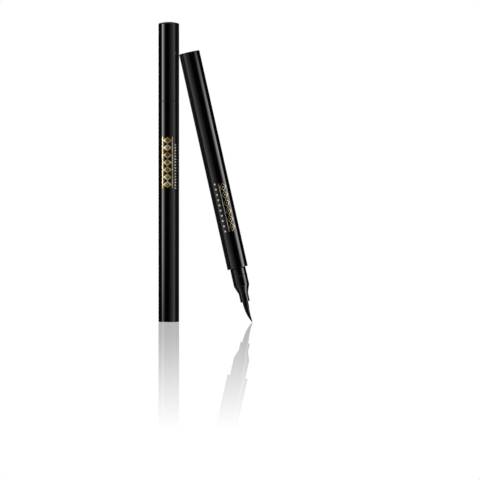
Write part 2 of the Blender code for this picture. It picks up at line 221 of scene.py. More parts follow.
# Shank in the barrel, neck with a groove at its root and the bead that the cap snaps over, cone and nozzle
def makeSection():
    neck, nozzle, shank, groove = section["neck"], section["nozzle"], section["shank"], section["groove"]
    hold, edge = section["hold"], section["smallEdge"]
    grooveRear = sectionRear + section["grooveMiddle"] - section["grooveHalf"]
    grooveFront = grooveRear + 2 * section["grooveHalf"]
    return turn("closedFrontSection", [
        (section["bore"], sectionRear),
        (shank, sectionRear, edge),
        (shank, grooveRear),
        (groove, grooveRear),
        (groove, grooveFront),
        (shank, grooveFront),
        (shank, shoulder, edge),
        (neck - section["rootDepth"], shoulder),
        (neck, shoulder + section["rootWidth"]),
        (neck, shoulder + hold),
        *bead(neck, section["beadHeight"], section["beadWidth"], shoulder + section["beadOffset"]),
        (neck, coneStart - hold),
        (neck, coneStart, section["coneEdge"]),
        (nozzle, coneEnd, section["coneEdge"]),
        (nozzle, coneEnd + hold),
        (nozzle, nozzleMouth - hold),
        (nozzle, nozzleMouth, section["mouthEdge"]),
        (section["nozzleBore"], nozzleMouth, edge),
        (section["nozzleBore"], coneEnd - section["setback"]),
        (section["bore"], coneStart - section["setback"]),
    ], section["sides"])


seal = {"sides": 96, "roundSteps": 16}


# O-ring: its round section, walked from the inside
def makeSeal():
    thick, middle = (sealFront - sealRear) / 2, (sealFront + sealRear) / 2
    corners = arc((sealRadius - thick, middle), thick, 180, -180, seal["roundSteps"])
    return turn("closedSectionSeal", corners[:-1], seal["sides"])


holder = {"sides": 96, "bore": 1.43 * mm, "nose": 1.801 * mm, "noseStart": 111.1 * mm, "edge": 0.1 * mm}


# Sleeve that grips the tip's root
def makeHolder():
    return turn("closedTipHolder", [
        (holder["bore"], holderRear, holder["edge"]),
        (holderRadius, holderRear, holder["edge"]),
        (holderRadius, holder["noseStart"], holder["edge"]),
        (holder["nose"], holder["noseStart"]),
        (holder["nose"], holderFront, holder["edge"]),
        (holder["bore"], holderFront, holder["edge"]),
    ], holder["sides"])


nib = {"columns": 64, "rings": 44, "socketRadius": 0.95 * mm, "socketDepth": 3.0 * mm, "straight": 1.5 * mm,
       "bendStart": 3.0 * mm, "bend": 1.17 * mm, "point": 0.06 * mm, "taperPower": 0.62,
       "grooveDepth": 0.04 * mm, "seed": 11}
bareLength = nibPoint - nozzleMouth


# Fibre tip. Its columns stand in by different amounts, which leaves fine grooves between the fibres, and bend
# is how far its point is pushed aside.
def makeNib(name, bend):
    outline = [
        (0, nibRear + nib["socketDepth"]),
        (nib["socketRadius"], nibRear + nib["socketDepth"]),
        (nib["socketRadius"], nibRear),
        (nibRadius, nibRear),
    ]
    for i in range(nib["rings"]):
        along = i / nib["rings"]
        bare = nib["straight"] + (bareLength - nib["straight"]) * along
        outline.append((nibRadius * (1 - along) ** nib["taperPower"], nozzleMouth + bare))
    outline += [(nib["point"], nibPoint - nib["point"]), (0, nibPoint)]
    piece = turn(name, outline, nib["columns"])
    chance = random.Random(nib["seed"])
    grooves = [1 - chance.random() * nib["grooveDepth"] / nibRadius * (i % 2) for i in range(nib["columns"])]
    for point in piece.data.vertices:
        column = round(math.atan2(point.co.y, point.co.x) / math.tau * nib["columns"]) % nib["columns"]
        point.co.xy *= grooves[column]
        away = max(0, point.co.z - nozzleMouth - nib["bendStart"]) / (bareLength - nib["bendStart"])
        point.co.x += bend * away**2
    return piece


relay = {"sides": 48, "edge": 0.06 * mm}


# Porous rod that carries the ink from the tank to the tip
def makeRelay():
    return turn("closedRelayRod", [
        (0, relayRear),
        (relayRadius, relayRear, relay["edge"]),
        (relayRadius, relayFront, relay["edge"]),
        (0, relayFront),
    ], relay["sides"])


collector = {"sides": 96, "bore": 0.95 * mm, "core": 1.75 * mm, "flange": 1.2 * mm, "fins": 11,
             "finThickness": 0.55 * mm, "finGap": 0.95 * mm, "finEdge": 0.1 * mm, "finRadius": 3.65 * mm,
             "spigot": 2.172 * mm, "slit": 0.4 * mm}


# Comb of fins on a bored core. A slit on one side opens the core and all fins but the front one, so that air
# and ink pass.
def makeCollector():
    edge, core, fin = collector["finEdge"], collector["core"], collector["finRadius"]
    combStart = collectorRear + collector["flange"]
    outline = [
        (collector["bore"], collectorRear),
        (collectorRadius, collectorRear, edge),
        (collectorRadius, combStart, edge),
        (core, combStart),
    ]
    for i in range(collector["fins"]):
        rear = combStart + collector["finGap"] + i * (collector["finGap"] + collector["finThickness"])
        front = rear + collector["finThickness"]
        outline += [(core, rear), (fin, rear, edge), (fin, front, edge), (core, front)]
    outline[-1] = (collector["spigot"], front)
    outline += [(collector["spigot"], collectorFront, edge), (collector["bore"], collectorFront)]
    piece = turn("closedCollector", outline, collector["sides"])
    length = front - collector["finThickness"] - combStart
    bpy.ops.mesh.primitive_cube_add(
        size=1,
        location=(frontBore / 2, 0, combStart + length / 2),
        scale=(frontBore, collector["slit"], length),
    )
    cutter = bpy.context.object
    applyModifier(piece, "BOOLEAN", object=cutter, operation="DIFFERENCE")
    bpy.data.objects.remove(cutter)
    bpy.ops.object.mode_set(mode="EDIT")
    bpy.ops.mesh.select_all(action="SELECT")
    bpy.ops.mesh.remove_doubles(threshold=shaping["touch"])
    bpy.ops.object.mode_set(mode="OBJECT")
    return piece


ball = {"rings": 48, "sides": 96}


# Steel ball, turned from pole to pole. It is made at its own centre.
def makeBall():
    corners = arc((0, 0), ballRadius, -90, 90, ball["rings"])
    return turn("closedMixingBall", [(0, corners[1][1]), *corners[1:-1], (0, ballRadius)], ball["sides"])


cap = {"sides": 128, "wall": 0.9 * mm, "chamberWall": 1.7 * mm, "step": 135.5 * mm, "floor": 138.5 * mm,
       "domeRise": 0.75 * mm, "domeSteps": 16, "edge": 0.5 * mm, "edgeSteps": 6, "mouthEdge": 0.08 * mm,
       "mouthGap": 0.06 * mm, "innerEdge": 0.1 * mm,
       "beadHeight": -0.12 * mm, "beadWidth": 0.8 * mm, "beadMiddle": 105.9 * mm}


# Domed shell, whose mouth all but closes on the barrel's shoulder. Its bore narrows at the step that the
# inner cap seats on.
def makeCap():
    bore, chamber = penRadius - cap["wall"], penRadius - cap["chamberWall"]
    edge, mouth = cap["edge"], shoulder + cap["mouthGap"]
    dome = (penRadius**2 + cap["domeRise"] ** 2) / (2 * cap["domeRise"])
    domeCentre, edgeRadius = capTop - dome, penRadius - edge
    edgeHeight = domeCentre + math.sqrt((dome - edge) ** 2 - edgeRadius**2)
    meet = math.degrees(math.atan2(edgeHeight - domeCentre, edgeRadius))
    return turn("capShell", [
        (0, cap["floor"]),
        (chamber, cap["floor"]),
        (chamber, cap["step"], cap["innerEdge"]),
        (bore, cap["step"]),
        *reversed(bead(bore, cap["beadHeight"], cap["beadWidth"], cap["beadMiddle"])),
        (bore, mouth, cap["innerEdge"]),
        *wall(penRadius, mouth, edgeHeight, cap["mouthEdge"], 0)[:-1],
        *arc((edgeRadius, edgeHeight), edge, 0, meet, cap["edgeSteps"]),
        *arc((0, domeCentre), dome, meet, 90, cap["domeSteps"])[1:-1],
        (0, capTop),
    ], cap["sides"])


innerCap = {"sides": 96, "radius": 3.6 * mm, "wall": 0.5 * mm, "floor": 134.5 * mm, "edge": 0.12 * mm,
            "ribs": 6, "ribReach": 3.85 * mm, "ribWidth": 0.6 * mm, "ribMargin": 1.0 * mm,
            "ribEdgeSteps": 3}


# Cup that seals over the tip, with ribs that grip the shell's bore
def makeInnerCap():
    bore = innerCap["radius"] - innerCap["wall"]
    piece = turn("innerCap", [
        (0, innerCap["floor"]),
        (bore, innerCap["floor"]),
        (bore, innerCapMouth, innerCap["edge"]),
        (innerCap["radius"], innerCapMouth, innerCap["edge"]),
        (innerCap["radius"], innerCapTop, innerCap["edge"]),
        (0, innerCapTop),
    ], innerCap["sides"])
    low, high = innerCapMouth + innerCap["ribMargin"], innerCapTop - innerCap["ribMargin"]
    inside = innerCap["radius"] - innerCap["wall"] / 2
    middle = (innerCap["ribReach"] + inside) / 2
    for i in range(innerCap["ribs"]):
        angle = math.tau * i / innerCap["ribs"]
        bpy.ops.object.select_all(action="DESELECT")
        bpy.ops.mesh.primitive_cube_add(
            size=1,
            location=(middle * math.cos(angle), middle * math.sin(angle), (low + high) / 2),
            rotation=(0, 0, angle),
            scale=(innerCap["ribReach"] - inside, innerCap["ribWidth"], high - low),
        )
        bpy.ops.object.transform_apply()
        rib = bpy.context.object
        applyModifier(rib, "BEVEL", width=innerCap["edge"], segments=innerCap["ribEdgeSteps"])
        applyModifier(piece, "BOOLEAN", object=rib, operation="UNION")
        bpy.data.objects.remove(rib)
    return piece


# Foil ornament, drawn flat in front of the upright pen and then pressed onto the barrel. Places run across
# the pen, to the viewer's right, and up it from the tail.
foil = {"ahead": 8 * mm, "lift": 0.004 * mm, "thickness": 0.012 * mm, "sliceWidth": 0.35 * mm,
        "dotSides": 16}


# Starts a flat shape and stays in edit mode. The circle is one across, so width and height are its own.
def startFlat(vertices, width, height, across, up, turned=0):
    centre = (across, -foil["ahead"], up)
    bpy.ops.object.select_all(action="DESELECT")
    bpy.ops.mesh.primitive_circle_add(
        vertices=vertices,
        radius=0.5,
        fill_type="NGON",
        location=centre,
        rotation=(math.pi / 2, 0, 0),
    )
    flat = bpy.context.object
    bpy.ops.object.mode_set(mode="EDIT")
    bpy.ops.mesh.select_all(action="SELECT")
    bpy.ops.transform.rotate(value=turned, orient_axis="Y", center_override=centre)
    bpy.ops.transform.resize(value=(width, 1, height), center_override=centre)
    return flat


# Leaves edit mode and sets copies of the shape up the pen
def repeatUp(flat, count, pitch):
    bpy.ops.object.mode_set(mode="OBJECT")
    bpy.ops.object.transform_apply()
    applyModifier(
        flat,
        "ARRAY",
        count=count,
        use_relative_offset=False,
        use_constant_offset=True,
        constant_offset_displace=(0, 0, pitch),
    )
    return flat


# Lines along the whole ornament, one at each place across the pen. A circle of four sides is a lozenge, and
# turned by an eighth it is a square, smaller by the root of two.
def rails(look, places):
    length, square = look["pitch"] * look["count"], math.sqrt(2)
    middle = look["start"] + length / 2
    flats = []
    for across in places:
        flat = startFlat(4, look["rail"] * square, length * square, across, middle, math.pi / 4)
        flats.append(repeatUp(flat, 1, length))
    return flats


# Joins the flat shapes, slices them so that they can bend, presses them onto the barrel and thickens them
def pressFoil(name, flats, target):
    bpy.ops.object.select_all(action="DESELECT")
    for flat in flats:
        flat.select_set(True)
    sheet = bpy.context.view_layer.objects.active = flats[0]
    bpy.ops.object.join()
    sheet.name = sheet.data.name = name
    bpy.ops.object.mode_set(mode="EDIT")
    slices = math.floor(penRadius / foil["sliceWidth"])
    for i in range(-slices, slices + 1):
        bpy.ops.mesh.select_all(action="SELECT")
        bpy.ops.mesh.bisect(plane_co=(i * foil["sliceWidth"], 0, 0), plane_no=(1, 0, 0))
    bpy.ops.object.mode_set(mode="OBJECT")
    applyModifier(
        sheet,
        "SHRINKWRAP",
        target=target,
        wrap_method="PROJECT",
        use_project_y=True,
        use_positive_direction=True,
        offset=foil["lift"],
    )
    applyModifier(sheet, "SOLIDIFY", thickness=foil["thickness"], offset=1)
    bpy.ops.object.shade_smooth_by_angle(angle=shaping["smoothAngle"])
    return sheet


closedOrnament = {"across": -0.55 * mm, "width": 4.1 * mm, "height": 3.35 * mm, "line": 0.7 * mm,
                  "heart": 0.9 * mm, "start": 62.6 * mm, "pitch": 3.43 * mm, "count": 7,
                  "rail": 0.36 * mm, "goldRails": (-2.85 * mm, 1.75 * mm), "silverRails": (),
                  "dot": 0.75 * mm, "dotAcross": 3.1 * mm, "dotPitch": 1.35 * mm, "dots": 16}
openOrnament = {"across": -1.65 * mm, "width": 2.8 * mm, "height": 3.7 * mm, "line": 0.15 * mm,
                "heart": 0.6 * mm, "start": 62.9 * mm, "pitch": 3.83 * mm, "count": 6,
                "rail": 0.32 * mm, "goldRails": (), "silverRails": (0.1 * mm,),
                "dot": 0.9 * mm, "dotAcross": 1.9 * mm, "dotPitch": 2.5 * mm, "dots": 10}


# Chain of outlined lozenges, each with a small solid one at its heart
def makeChain(name, look, target):
    middle = look["start"] + look["pitch"] / 2
    outlines = startFlat(4, look["width"], look["height"], look["across"], middle)
    bpy.ops.mesh.inset(thickness=look["line"])
    bpy.ops.mesh.delete(type="FACE")
    repeatUp(outlines, look["count"], look["pitch"])
    heartHeight = look["heart"] * look["height"] / look["width"]
    hearts = startFlat(4, look["heart"], heartHeight, look["across"], middle)
    repeatUp(hearts, look["count"], look["pitch"])
    return pressFoil(name, [outlines, hearts, *rails(look, look["goldRails"])], target)


# Row of round dots, beside the chain
def makeDots(name, look, target):
    dots = startFlat(foil["dotSides"], look["dot"], look["dot"], look["dotAcross"], look["start"])
    repeatUp(dots, look["dots"], look["dotPitch"])
    return pressFoil(name, [dots, *rails(look, look["silverRails"])], target)


# Linear value of a colour given in sRGB hex, by the sRGB curve
def linear(hexColour):
    channels = [int(hexColour[i:i + 2], 16) / 255 for i in (0, 2, 4)]
    return (*[c / 12.92 if c <= 0.04045 else ((c + 0.055) / 1.055) ** 2.4 for c in channels], 1)


# Adds a node: its sockets are given by name or number, each with a value or with the socket that feeds it. A
# ramp also takes its stops, each a place and a brightness, from the lowest place up. A Mix node's numbers are
# 0 for its factor, 2 and 3 for two values, and 6 and 7 for two colours, whose mix is its output 2.
def addNode(tree, kind, sockets=None, stops=(), **settings):
    node = tree.nodes.new(kind)
    for setting, value in settings.items():
        setattr(node, setting, value)
    for place, _ in stops[1:-1]:
        node.color_ramp.elements.new(place)
    for i, (place, brightness) in enumerate(stops):
        node.color_ramp.elements[i].position = place
        node.color_ramp.elements[i].color = (brightness, brightness, brightness, 1)
    for socket, value in (sockets or {}).items():
        if isinstance(value, bpy.types.NodeSocket):
            tree.links.new(value, node.inputs[socket])
        else:
            node.inputs[socket].default_value = value
    return node


# Starts a material. The second result is where a point lies on its own upright pen, in metres.
def startMaterial(name):
    material = bpy.data.materials.new(name)
    material.use_nodes = True
    material.node_tree.nodes.clear()
    place = addNode(material.node_tree, "ShaderNodeAttribute", attribute_name="penSpace").outputs["Vector"]
    return material, place


# Adds the shader, with these sockets, and the output
def finishMaterial(material, sockets):
    tree = material.node_tree
    shader = addNode(tree, "ShaderNodeBsdfPrincipled", sockets)
    addNode(tree, "ShaderNodeOutputMaterial", {"Surface": shader.outputs["BSDF"]})
    return material


# Noise stays near its middle, so the range between these two values is spread over the whole of what it
# drives. Only the highest of the hairlines show.
spread = {"flow": (0.3, 0.7), "hairs": (0.62, 0.75), "fibres": (0.3, 0.7), "clouds": (0.35, 0.65)}

# Gloss black ABS, moulded in a polished tool: deep black with sharp reflections, a faint orange-peel waviness
# and, close up, hairlines along the pen from handling
glossLook = {"dark": "010102", "light": "040405", "flow": 9 * mm, "smooth": 0.045, "hazy": 0.07,
             "peel": 1.6 * mm, "peelHeight": 0.0003 * mm, "refraction": 1.54,
             "hairWidth": 0.07 * mm, "hairLength": 14 * mm, "hairRoughness": 0.05}
# Black polypropylene, moulded in a ground tool: a little softer than the barrel, with a fine grain
satinLook = {"dark": "020203", "light": "060607", "flow": 5 * mm, "smooth": 0.06, "hazy": 0.09,
             "peel": 0.14 * mm, "peelHeight": 0.0003 * mm, "refraction": 1.49,
             "hairWidth": 0.05 * mm, "hairLength": 4 * mm, "hairRoughness": 0.03}


# Black moulding: tone and gloss that vary softly, hairlines that scatter light, and a faint relief
def mouldedBlack(name, look):
    material, place = startMaterial(name)
    tree = material.node_tree
    flow = addNode(tree, "ShaderNodeTexNoise", {"Vector": place, "Scale": 1 / look["flow"]})
    peel = addNode(tree, "ShaderNodeTexNoise", {"Vector": place, "Scale": 1 / look["peel"], "Detail": 1})
    hairScale = (1 / look["hairWidth"], 1 / look["hairWidth"], 1 / look["hairLength"])
    along = addNode(tree, "ShaderNodeMapping", {"Vector": place, "Scale": hairScale})
    hairs = addNode(tree, "ShaderNodeTexNoise", {"Vector": along.outputs[0], "Scale": 1, "Detail": 1})
    tone = addNode(
        tree,
        "ShaderNodeMapRange",
        {"Value": flow.outputs["Fac"], "From Min": spread["flow"][0], "From Max": spread["flow"][1]},
    )
    colour = addNode(
        tree,
        "ShaderNodeMix",
        {0: tone.outputs[0], 6: linear(look["dark"]), 7: linear(look["light"])},
        data_type="RGBA",
    )
    haze = addNode(
        tree,
        "ShaderNodeMapRange",
        {"Value": tone.outputs[0], "To Min": look["smooth"], "To Max": look["hazy"]},
    )
    scuff = addNode(
        tree,
        "ShaderNodeMapRange",
        {
            "Value": hairs.outputs["Fac"],
            "From Min": spread["hairs"][0],
            "From Max": spread["hairs"][1],
            "To Max": look["hairRoughness"],
        },
    )
    roughness = addNode(tree, "ShaderNodeMath", {0: haze.outputs[0], 1: scuff.outputs[0]}, operation="ADD")
    wave = addNode(tree, "ShaderNodeBump", {"Height": peel.outputs["Fac"], "Distance": look["peelHeight"]})
    return finishMaterial(material, {
        "Base Color": colour.outputs[2],
        "Roughness": roughness.outputs[0],
        "Normal": wave.outputs[0],
        "IOR": look["refraction"],
    })


# Polyester fibres, heat-set into a tip and soaked with ink: black with fine streaks along it, and darker and
# wetter towards the point. Its refraction is low, because soaked fibres mirror little.
tipLook = {"dark": "000000", "light": "08080a", "wet": "010101", "roughness": (0.28, 0.45),
           "wetRoughness": 0.25, "width": 0.09 * mm, "length": 3 * mm, "height": 0.008 * mm,
           "wetStart": 4 * mm, "refraction": 1.22}
# Polyester wick, drawn and bonded: grey where the ink has stained it, with fibres along it
wickLook = {"dark": "202124", "light": "6d6e72", "wet": "131315", "roughness": (0.75, 0.9),
            "wetRoughness": 0.5, "width": 0.06 * mm, "length": 2 * mm, "height": 0.01 * mm,
            "wetStart": 9 * mm, "refraction": 1.5}


# Fibres along the pen. They are soaked from the front end of the piece back to where the ink starts.
def fibreBundle(name, look, front):
    material, place = startMaterial(name)
    tree = material.node_tree
    fibreScale = (1 / look["width"], 1 / look["width"], 1 / look["length"])
    along = addNode(tree, "ShaderNodeMapping", {"Vector": place, "Scale": fibreScale})
    fibres = addNode(tree, "ShaderNodeTexNoise", {"Vector": along.outputs[0], "Scale": 1, "Detail": 3})
    tone = addNode(
        tree,
        "ShaderNodeMapRange",
        {"Value": fibres.outputs["Fac"], "From Min": spread["fibres"][0], "From Max": spread["fibres"][1]},
    )
    height = addNode(tree, "ShaderNodeSeparateXYZ", {"Vector": place})
    soaked = addNode(
        tree,
        "ShaderNodeMapRange",
        {"Value": height.outputs["Z"], "From Min": front - look["wetStart"], "From Max": front},
    )
    dry = addNode(
        tree,
        "ShaderNodeMix",
        {0: tone.outputs[0], 6: linear(look["dark"]), 7: linear(look["light"])},
        data_type="RGBA",
    )
    colour = addNode(
        tree,
        "ShaderNodeMix",
        {0: soaked.outputs[0], 6: dry.outputs[2], 7: linear(look["wet"])},
        data_type="RGBA",
    )
    rough = addNode(
        tree,
        "ShaderNodeMapRange",
        {"Value": tone.outputs[0], "To Min": look["roughness"][0], "To Max": look["roughness"][1]},
    )
    roughness = addNode(
        tree,
        "ShaderNodeMix",
        {0: soaked.outputs[0], 2: rough.outputs[0], 3: look["wetRoughness"]},
    )
    ridges = addNode(tree, "ShaderNodeBump", {"Height": fibres.outputs["Fac"], "Distance": look["height"]})
    return finishMaterial(material, {
        "Base Color": colour.outputs[2],
        "Roughness": roughness.outputs[0],
        "Normal": ridges.outputs[0],
        "IOR": look["refraction"],
    })


# Natural polypropylene, moulded without colour: milky, and light goes a little way in
naturalLook = {"dark": "dcdacf", "light": "eeece4", "roughness": (0.34, 0.46), "grain": 2.5 * mm,
               "height": 0.001 * mm,
               "sockets": {"IOR": 1.49, "Subsurface Weight": 0.35, "Subsurface Scale": 1,
                           "Subsurface Radius": (1.2 * mm, 1.0 * mm, 0.8 * mm)}}
# Silicone rubber, compression-moulded: dull black with a slight bloom
rubberLook = {"dark": "1b1b1c", "light": "29292a", "roughness": (0.5, 0.62), "grain": 0.6 * mm,
              "height": 0.002 * mm, "sockets": {"IOR": 1.41}}
# Stainless steel, tumbled: bright grey metal with a haze of small knocks
steelLook = {"dark": "b9bab8", "light": "d3d3d0", "roughness": (0.12, 0.24), "grain": 0.25 * mm,
             "height": 0.0008 * mm, "sockets": {"Metallic": 1}}
# Metallised foil, stamped hot onto the plastic: satin metal, warmer and paler in soft clouds
goldLook = {"dark": "bb9a48", "light": "efe5ba", "roughness": (0.4, 0.52), "grain": 3 * mm,
            "height": 0.0008 * mm, "sockets": {"Metallic": 1}}
silverLook = {"dark": "c8c6ba", "light": "f0eee6", "roughness": (0.44, 0.56), "grain": 3 * mm,
              "height": 0.0008 * mm, "sockets": {"Metallic": 1}}


# Surface with soft clouds of colour and roughness. The look's sockets are set as they are.
def cloudedSurface(name, look):
    material, place = startMaterial(name)
    tree = material.node_tree
    clouds = addNode(tree, "ShaderNodeTexNoise", {"Vector": place, "Scale": 1 / look["grain"], "Detail": 3})
    tone = addNode(
        tree,
        "ShaderNodeMapRange",
        {"Value": clouds.outputs["Fac"], "From Min": spread["clouds"][0], "From Max": spread["clouds"][1]},
    )
    colour = addNode(
        tree,
        "ShaderNodeMix",
        {0: tone.outputs[0], 6: linear(look["dark"]), 7: linear(look["light"])},
        data_type="RGBA",
    )
    roughness = addNode(
        tree,
        "ShaderNodeMapRange",
        {"Value": tone.outputs[0], "To Min": look["roughness"][0], "To Max": look["roughness"][1]},
    )
    dents = addNode(tree, "ShaderNodeBump", {"Height": clouds.outputs["Fac"], "Distance": look["height"]})
    return finishMaterial(material, {
        "Base Color": colour.outputs[2],
        "Roughness": roughness.outputs[0],
        "Normal": dents.outputs[0],
        **look["sockets"],
    })


# Writes where each point lies on its own upright pen, for the materials
def keepPenSpace(piece):
    places = piece.data.attributes.new("penSpace", "FLOAT_VECTOR", "POINT")
    for i, point in enumerate(piece.data.vertices):
        places.data[i].vector = point.co


# Puts a piece in its place and leaves its object at the origin
def moveTo(piece, matrix):
    bpy.ops.object.select_all(action="DESELECT")
    piece.matrix_world = matrix
    piece.select_set(True)
    bpy.context.view_layer.objects.active = piece
    bpy.ops.object.transform_apply()


# Copy of a piece, with a mesh of its own, in a place of its own
def copyTo(piece, name, matrix):
    twin = piece.copy()
    twin.data = piece.data.copy()
    twin.name = twin.data.name = name
    bpy.context.scene.collection.objects.link(twin)
    moveTo(twin, matrix)
    return twin


# Gives a piece its material and body and, where it stands for a CAD node, hides that node
def dress(piece, material, body, node=None):
    piece.data.materials.clear()
    piece.data.materials.append(material)
    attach(piece, body)
    if node:
        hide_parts(node)


# The open pen leans with its tail up, against the closed one, and stands on its tip. openFront is an upright
# pen's frame, seen from the front, put in its place: the tail goes up, and the viewer's right becomes left.
lean = math.radians(12.67)
openLow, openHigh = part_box("open_barrel")
tailPlace = Vector((
    penRadius * (1 + math.cos(lean)),
    (openLow.y + openHigh.y) / 2,
    nibPoint * math.cos(lean) - nib["bend"] * math.sin(lean),
))
openFront = Matrix.Translation(tailPlace) @ Matrix.Rotation(math.pi - lean, 4, "Y")
openPlace = openFront @ Matrix.Rotation(math.pi, 4, "Z")

gloss = mouldedBlack("glossBlackAbsPolishedMoulding", glossLook)
satin = mouldedBlack("blackPolypropyleneGroundMoulding", satinLook)
fibre = fibreBundle("inkedPolyesterFibreTip", tipLook, nibPoint)
wick = fibreBundle("stainedPolyesterWick", wickLook, relayFront)
natural = cloudedSurface("naturalPolypropyleneMoulding", naturalLook)
rubber = cloudedSurface("blackSiliconeRubberMoulding", rubberLook)
steel = cloudedSurface("tumbledStainlessSteel", steelLook)
gold = cloudedSurface("goldHotStampedFoil", goldLook)
silver = cloudedSurface("silverHotStampedFoil", silverLook)
print("materials made")

closedBarrel = makeBarrel()
# Piece, its CAD node's ending, material and the record's slot
penParts = [
    (closedBarrel, "barrel", gloss, "shell_black"),
    (makePlug(), "tail_plug", gloss, "shell_black"),
    (makeSection(), "front_section", satin, "section_black"),
    (makeSeal(), "section_seal", rubber, "seal_rubber"),
    (makeHolder(), "tip_holder", natural, "natural_plastic"),
    (makeRelay(), "relay_rod", wick, "relay_fibre"),
    (makeCollector(), "collector", natural, "natural_plastic"),
]
# The open pen's foil is pressed onto the closed pen's barrel too, and moves to its own pen further down
closedFoil = [
    (makeChain("closedGoldChain", closedOrnament, closedBarrel), gold),
    (makeDots("closedSilverDots", closedOrnament, closedBarrel), silver),
]
openFoil = [
    (makeChain("openGoldChain", openOrnament, closedBarrel), gold),
    (makeDots("openSilverRow", openOrnament, closedBarrel), silver),
]
closedPieces, openPieces = [], []
for piece, ending, material, slot in penParts:
    keepPenSpace(piece)
    twin = copyTo(piece, piece.name.replace("closed", "open"), openPlace)
    dress(piece, material, "capped_pen", "capped_" + ending)
    dress(twin, material, "open_pen", "open_" + ending)
    closedPieces.append(piece)
    openPieces.append(twin)
for piece, material in closedFoil:
    keepPenSpace(piece)
    dress(piece, material, "capped_pen")
for piece, material in openFoil:
    keepPenSpace(piece)
    moveTo(piece, openFront)
    dress(piece, material, "open_pen")
closedNib, openNib = makeNib("closedNib", 0), makeNib("openNib", nib["bend"])
keepPenSpace(closedNib)
keepPenSpace(openNib)
moveTo(openNib, openPlace)
dress(closedNib, fibre, "capped_pen", "capped_nib")
dress(openNib, fibre, "open_pen", "open_nib")
closedBall = makeBall()
keepPenSpace(closedBall)
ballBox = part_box("open_mixing_ball")
openBall = copyTo(closedBall, "openMixingBall", Matrix.Translation((ballBox[0] + ballBox[1]) / 2))
moveTo(closedBall, Matrix.Translation((0, 0, (ballLow + ballHigh) / 2)))
dress(closedBall, steel, "capped_ball", "capped_mixing_ball")
dress(openBall, steel, "open_ball", "open_mixing_ball")
capShell, capLiner = makeCap(), makeInnerCap()
keepPenSpace(capShell)
keepPenSpace(capLiner)
dress(capShell, gloss, "cap", "cap_shell")
dress(capLiner, natural, "cap", "inner_cap")
closedPieces += [closedNib, closedBall, capShell, capLiner, *[piece for piece, _ in closedFoil]]
openPieces += [openNib, openBall, *[piece for piece, _ in openFoil]]
print("pens modelled and dressed")


# The mirror image fades by a power of the distance from the pens and ends at its reach, in metres. The glow
# is how bright the pens see each direction, from straight down at 0 to straight up at 1.
stageLook = {"floorRadius": 12, "floorSides": 96, "floorDrop": 0.02 * mm,
             "contactReach": 12 * mm, "paintedContactShadow": 0.24, "contactSamples": 12,
             "mirror": 0.6, "mirrorReach": 1.06, "mirrorFade": 2.4, "refraction": 1.45,
             "glow": [(0.2, 0.012), (0.25, 0.3), (0.34, 0.3), (0.38, 0.012), (0.62, 0.012), (1, 0.35)]}


# Pale glossy table: it mirrors the pens where it is seen at a low angle, less and less away from them. Its
# white is a glow, darkened near the pens as a painted contact shadow.
def makeFloor():
    bpy.ops.object.select_all(action="DESELECT")
    bpy.ops.mesh.primitive_circle_add(
        vertices=stageLook["floorSides"],
        radius=stageLook["floorRadius"],
        fill_type="NGON",
        location=(0, 0, -stageLook["floorDrop"]),
    )
    floor = bpy.context.object
    floor.name = "floor"
    bpy.ops.object.transform_apply()
    material = bpy.data.materials.new("whiteTable")
    material.use_nodes = True
    tree = material.node_tree
    tree.nodes.clear()
    place = addNode(tree, "ShaderNodeTexCoord").outputs["Object"]
    away = addNode(tree, "ShaderNodeVectorMath", {0: place}, operation="LENGTH")
    extent, power, most = stageLook["mirrorReach"], stageLook["mirrorFade"], stageLook["mirror"]
    part = addNode(tree, "ShaderNodeMath", {0: away.outputs[1], 1: extent}, operation="DIVIDE")
    drop = addNode(tree, "ShaderNodeMath", {0: part.outputs[0], 1: power}, operation="POWER")
    fade = addNode(tree, "ShaderNodeMath", {0: 1, 1: drop.outputs[0]}, operation="SUBTRACT", use_clamp=True)
    shallow = addNode(tree, "ShaderNodeFresnel", {"IOR": stageLook["refraction"]})
    shine = addNode(tree, "ShaderNodeMath", {0: fade.outputs[0], 1: shallow.outputs[0]}, operation="MULTIPLY")
    mirror = addNode(tree, "ShaderNodeMath", {0: shine.outputs[0], 1: most}, operation="MULTIPLY")
    # Painted contact shadow: the table's glow is dimmed where the pens stand close over it
    hidden = addNode(
        tree,
        "ShaderNodeAmbientOcclusion",
        {"Distance": stageLook["contactReach"]},
        samples=stageLook["contactSamples"],
    )
    shade = addNode(
        tree,
        "ShaderNodeMapRange",
        {"Value": hidden.outputs["AO"], "To Min": 1 - stageLook["paintedContactShadow"]},
    )
    white = addNode(tree, "ShaderNodeEmission", {"Strength": shade.outputs[0]})
    glossy = addNode(tree, "ShaderNodeBsdfGlossy", {"Color": (1, 1, 1, 1), "Roughness": 0})
    mix = addNode(
        tree,
        "ShaderNodeMixShader",
        {0: mirror.outputs[0], 1: white.outputs[0], 2: glossy.outputs[0]},
    )
    addNode(tree, "ShaderNodeOutputMaterial", {"Surface": mix.outputs[0]})
    material.cycles.emission_sampling = "NONE"
    floor.data.materials.append(material)
    floor.visible_diffuse = floor.visible_glossy = floor.visible_shadow = False


